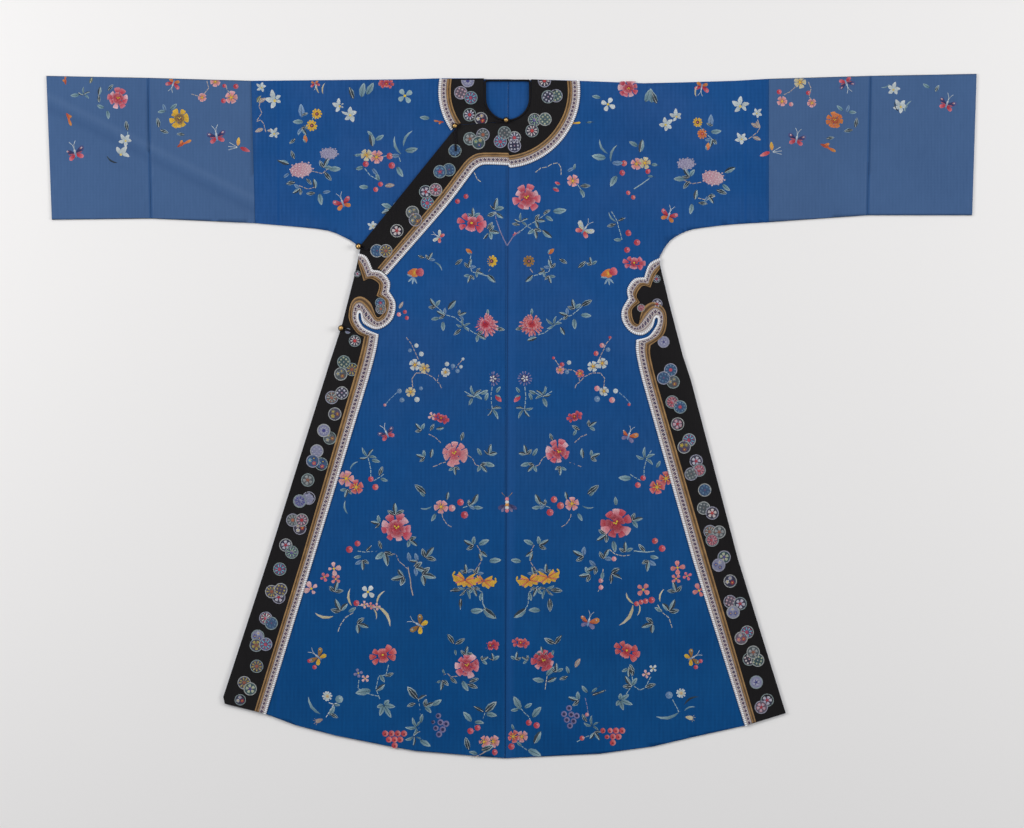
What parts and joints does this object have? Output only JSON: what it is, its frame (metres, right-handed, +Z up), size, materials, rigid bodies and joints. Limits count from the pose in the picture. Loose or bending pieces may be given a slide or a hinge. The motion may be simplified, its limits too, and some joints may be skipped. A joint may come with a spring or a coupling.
{
  "type": "court robe",
  "caption": "Side-closing silk robe with wide straight sleeves, black collar and slit borders with scroll heads, and gilt ball buttons, laid flat.",
  "frame": {"origin": "centre of the laid-out robe's outline, on the plane that its back lies on", "axes": "+X towards the wearer's left cuff, along the longest extent; +Y from hem to shoulder; +Z up, out of the front, the shortest extent"},
  "size_m": [1.876, 1.38, 0.0162],
  "materials": {
    "blue_gauze": "blue silk gauze with a fine open grid weave, satin-stitch embroidery",
    "pale_blue_gauze": "paler, greyer blue silk gauze",
    "black_satin": "black silk with embroidered roundels",
    "patterned_ribbon": "woven ribbon with small florets and a white picot edge",
    "gold_braid": "gold-brown woven braid",
    "neck_binding": "black silk roll",
    "loop_cord": "dark silk cord",
    "gilt_brass": "gilt, softly worn"
  },
  "bodies": {
    "root": {"back_right": "blue_gauze", "back_left": "blue_gauze", "front_right_under": "blue_gauze", "front_left": "blue_gauze", "front_right_over": "blue_gauze", "sleeve_mid_right": "pale_blue_gauze", "sleeve_end_right": "pale_blue_gauze", "sleeve_mid_left": "pale_blue_gauze", "sleeve_end_left": "pale_blue_gauze", "collar_border_right": "black_satin", "collar_lapel_border": "black_satin", "slit_border_right": "black_satin", "slit_border_left": "black_satin", "ribbon_collar_right": "patterned_ribbon", "ribbon_collar_lapel": "patterned_ribbon", "ribbon_slit_right": "patterned_ribbon", "ribbon_slit_left": "patterned_ribbon", "braid_collar_right": "gold_braid", "braid_collar_lapel": "gold_braid", "braid_slit_right": "gold_braid", "braid_slit_left": "gold_braid", "neck_binding": "neck_binding", "button_neck": "gilt_brass", "button_shoulder": "gilt_brass", "button_underarm": "gilt_brass", "button_side": "gilt_brass", "loop_neck": "loop_cord", "loop_shoulder": "loop_cord", "loop_underarm": "loop_cord", "loop_side": "loop_cord"}
  },
  "joints": []
}
